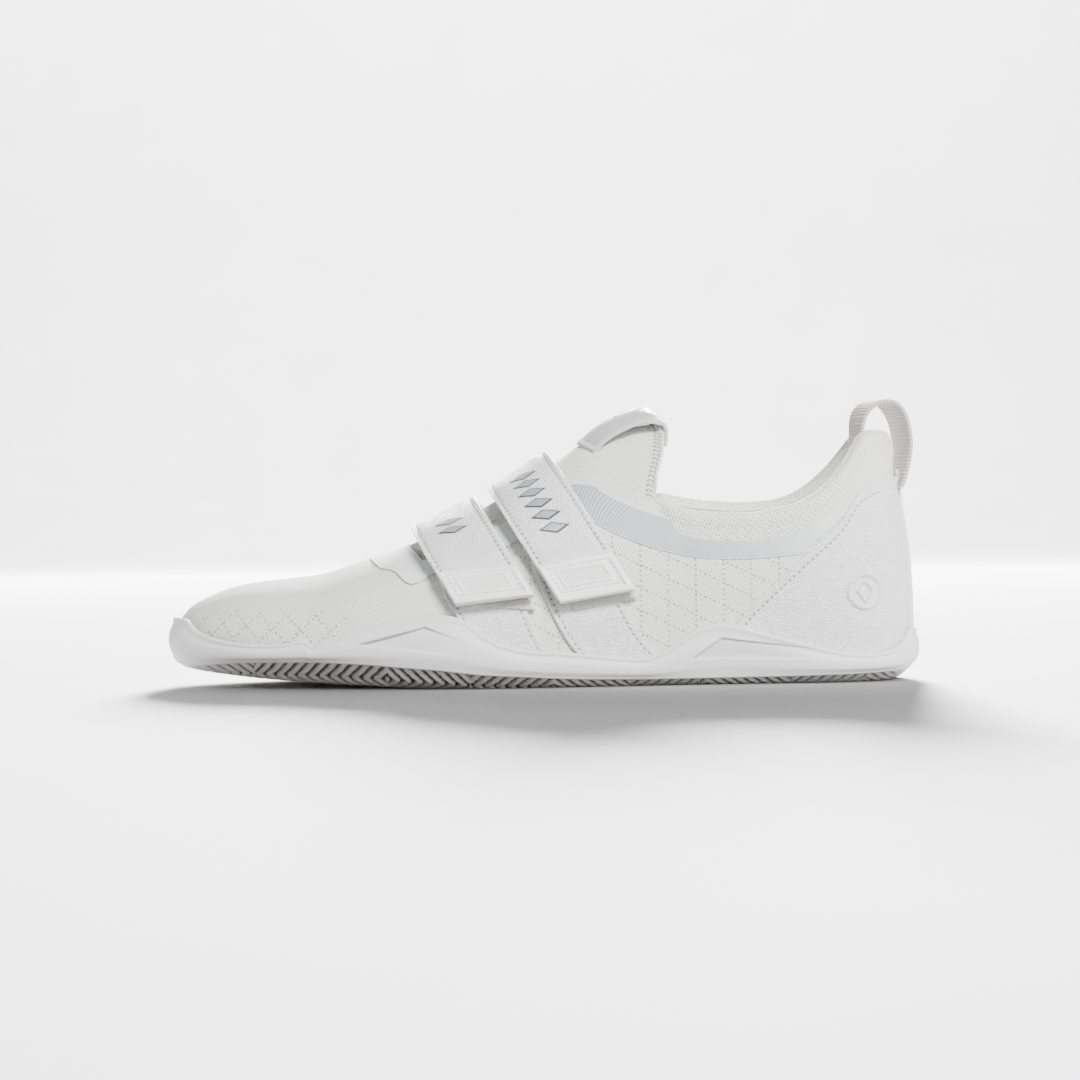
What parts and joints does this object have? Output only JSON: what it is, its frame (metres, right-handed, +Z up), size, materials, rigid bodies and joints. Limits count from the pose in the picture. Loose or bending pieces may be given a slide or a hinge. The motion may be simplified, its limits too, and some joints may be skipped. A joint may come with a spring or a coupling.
{
  "type": "strap training shoe",
  "caption": "Low slip-in training shoe with a knit upper, cup sole, padded collar, two hook-and-loop instep straps and pull loops.",
  "frame": {"origin": "on the ground under the centre of the outsole's length and width", "axes": "-X to the toe, -Y to the outer (lateral) side of this left shoe, +Z up"},
  "size_m": [0.29, 0.108, 0.107],
  "materials": {
    "rubber": "matte",
    "foam": "matte",
    "fibre_board": "matte",
    "stiffener": "matte",
    "knit": "matte",
    "rib_knit": "matte",
    "lining_cloth": "matte",
    "film": "satin",
    "silver_film": "satin",
    "leather": "satin",
    "moulded_tab": "satin",
    "hook_tape": "matte",
    "loop_tape": "matte",
    "webbing": "matte"
  },
  "bodies": {
    "shoe": {"outsole": "rubber", "midsole_foam": "foam", "strobel_board": "fibre_board", "insole": "foam", "insole_cover": "lining_cloth", "knit_upper": "knit", "instep_film": "film", "toe_puff": "stiffener", "heel_counter": "stiffener", "collar_foam": "foam", "collar_lining": "lining_cloth", "reflective_band_lateral": "silver_film", "reflective_band_medial": "silver_film", "heel_overlay_lateral": "leather", "heel_overlay_medial": "leather", "heel_backstay": "leather", "heel_pull_loop": "webbing", "tongue": "rib_knit", "front_strap_fold": "leather", "front_loop_pile": "loop_tape", "front_anchor_lateral": "leather", "front_anchor_medial": "leather", "rear_strap_fold": "leather", "rear_loop_pile": "loop_tape", "rear_anchor_lateral": "leather", "rear_anchor_medial": "leather"},
    "front_strap": {"front_strap": "leather"},
    "front_strap_end": {"front_strap_end": "leather", "front_strap_tab": "moulded_tab", "front_strap_hook": "hook_tape"},
    "rear_strap": {"rear_strap": "leather"},
    "rear_strap_end": {"rear_strap_end": "leather", "rear_strap_tab": "moulded_tab", "rear_strap_hook": "hook_tape"},
    "tongue_top": {"tongue_top": "rib_knit", "tongue_pull_loop": "leather"}
  },
  "joints": [
    {"name": "front_strap_open", "type": "hinge", "parent": "shoe", "child": "front_strap", "pos_m": [-0.02416, 0.04163, 0.044], "axis": [-0.8067, 0.3235, -0.4946], "range_deg": [0, 130]},
    {"name": "front_strap_peel", "type": "hinge", "parent": "front_strap", "child": "front_strap_end", "pos_m": [-0.02602, -0.0417, 0.04704], "axis": [-0.992, 0.0899, -0.0882], "range_deg": [0, 90]},
    {"name": "rear_strap_open", "type": "hinge", "parent": "shoe", "child": "rear_strap", "pos_m": [0.00941, 0.03601, 0.052], "axis": [-0.8331, 0.2123, -0.5108], "range_deg": [0, 130]},
    {"name": "rear_strap_peel", "type": "hinge", "parent": "rear_strap", "child": "rear_strap_end", "pos_m": [0.01042, -0.04235, 0.05034], "axis": [-0.9756, -0.1092, -0.1903], "range_deg": [0, 90]},
    {"name": "tongue_tip", "type": "hinge", "parent": "shoe", "child": "tongue_top", "pos_m": [0.0146, 0.0022, 0.0911], "axis": [0, -1, 0], "range_deg": [0, 20], "stiffness_Nm_per_rad": 0.2}
  ]
}
